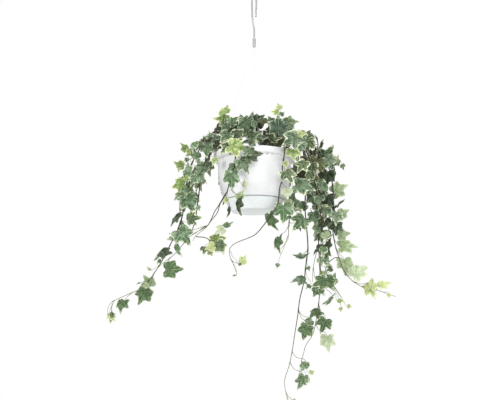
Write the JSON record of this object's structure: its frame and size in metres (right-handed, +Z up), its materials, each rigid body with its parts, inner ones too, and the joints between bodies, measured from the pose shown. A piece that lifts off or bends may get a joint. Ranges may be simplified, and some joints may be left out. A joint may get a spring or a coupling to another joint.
{
  "type": "potted english ivy",
  "caption": "Trailing variegated ivy in a white hanging pot with saucer, held by a clear hook and thin straps.",
  "frame": {"origin": "where the hook bears on what holds it, straight above the pot's centre", "axes": "+Z up, +X to the right and +Y away from the viewer as the plant is seen in the picture"},
  "size_m": [0.5205, 0.2328, 0.7962],
  "materials": {
    "pot_plastic": "moulded, glossy white",
    "saucer_plastic": "moulded, bluish white",
    "soil": "dark, crumbly",
    "hanger_plastic": "clear, slightly grey",
    "ivy": "waxy leaves, green with grey and cream marbling"
  },
  "bodies": {
    "root": {"pot": "pot_plastic", "saucer": "saucer_plastic", "soil": "soil", "hanger_hook": "hanger_plastic", "hanger_strap_1": "hanger_plastic", "hanger_strap_2": "hanger_plastic", "hanger_strap_3": "hanger_plastic", "ivy_left_front": "ivy", "ivy_left_outer": "ivy", "ivy_left_tail": "ivy", "ivy_left_crown": "ivy", "ivy_crown_mid": "ivy", "ivy_front_short": "ivy", "ivy_hero": "ivy", "ivy_right_front": "ivy", "ivy_right_second": "ivy", "ivy_right_long": "ivy", "ivy_right_mid": "ivy", "ivy_right_dense": "ivy", "ivy_right_inner": "ivy", "ivy_right_outer": "ivy", "ivy_back_right": "ivy", "ivy_back_right_mid": "ivy", "ivy_back_mid": "ivy", "ivy_back_left_mid": "ivy", "ivy_back_left": "ivy", "ivy_back_far_left": "ivy"}
  },
  "joints": []
}
